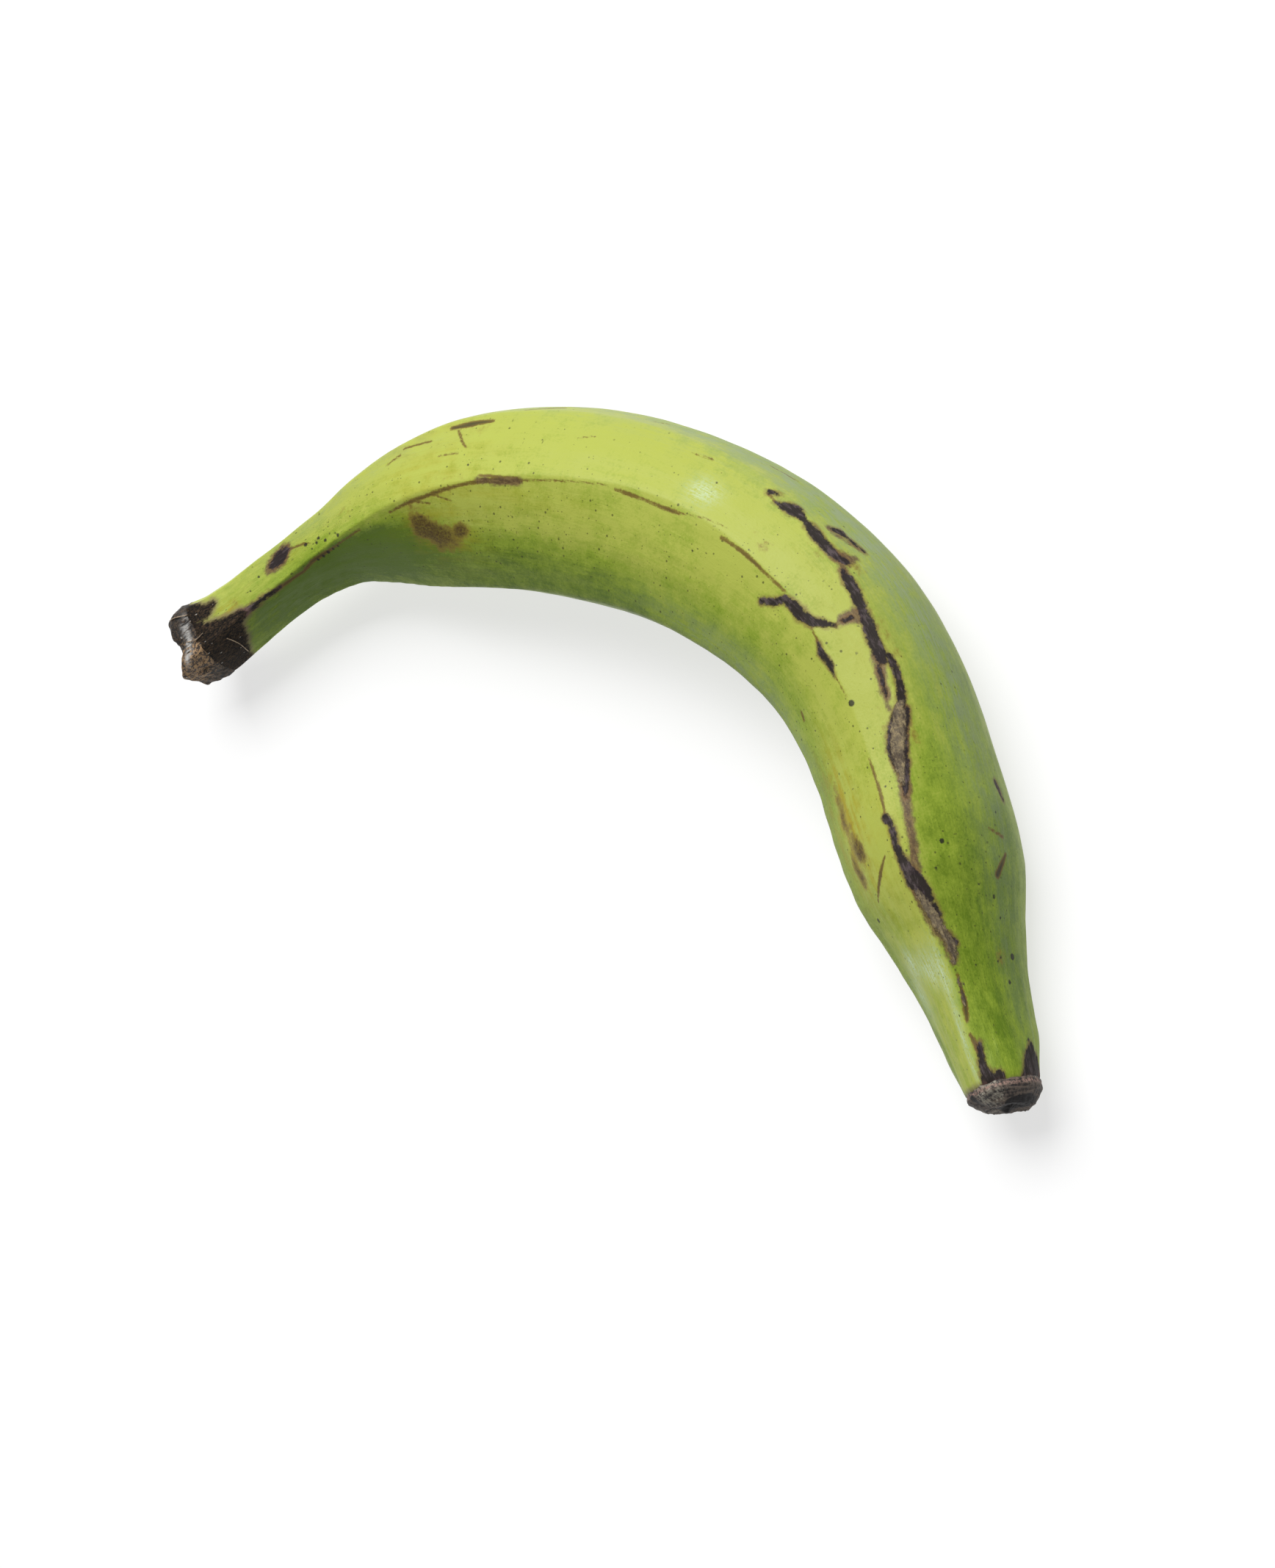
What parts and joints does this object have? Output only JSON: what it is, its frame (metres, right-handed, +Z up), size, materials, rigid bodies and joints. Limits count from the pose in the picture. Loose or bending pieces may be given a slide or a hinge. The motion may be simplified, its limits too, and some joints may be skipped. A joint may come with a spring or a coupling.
{
  "type": "plantain",
  "caption": "Whole unripe green plantain, curved and ridged, with a torn stem end and a dry tip, lying on its side.",
  "frame": {"origin": "centre of the bounding box on the surface that the fruit lies on", "axes": "+X along the chord from the torn stem end to the tip, +Y towards the convex back, +Z up"},
  "size_m": [0.2545, 0.1144, 0.0468],
  "materials": {
    "skin": "waxy green peel, softly glossy, yellow-green on top and mid green below, with brown corky scars along its ridges",
    "torn_stem": "blackish brown, dull and fibrous, with silvery and tan fibres",
    "tip_cap": "dry, dull, pinkish brown wood with grey flakes and a black hollow"
  },
  "bodies": {
    "root": {"plantain": "skin"}
  },
  "joints": []
}
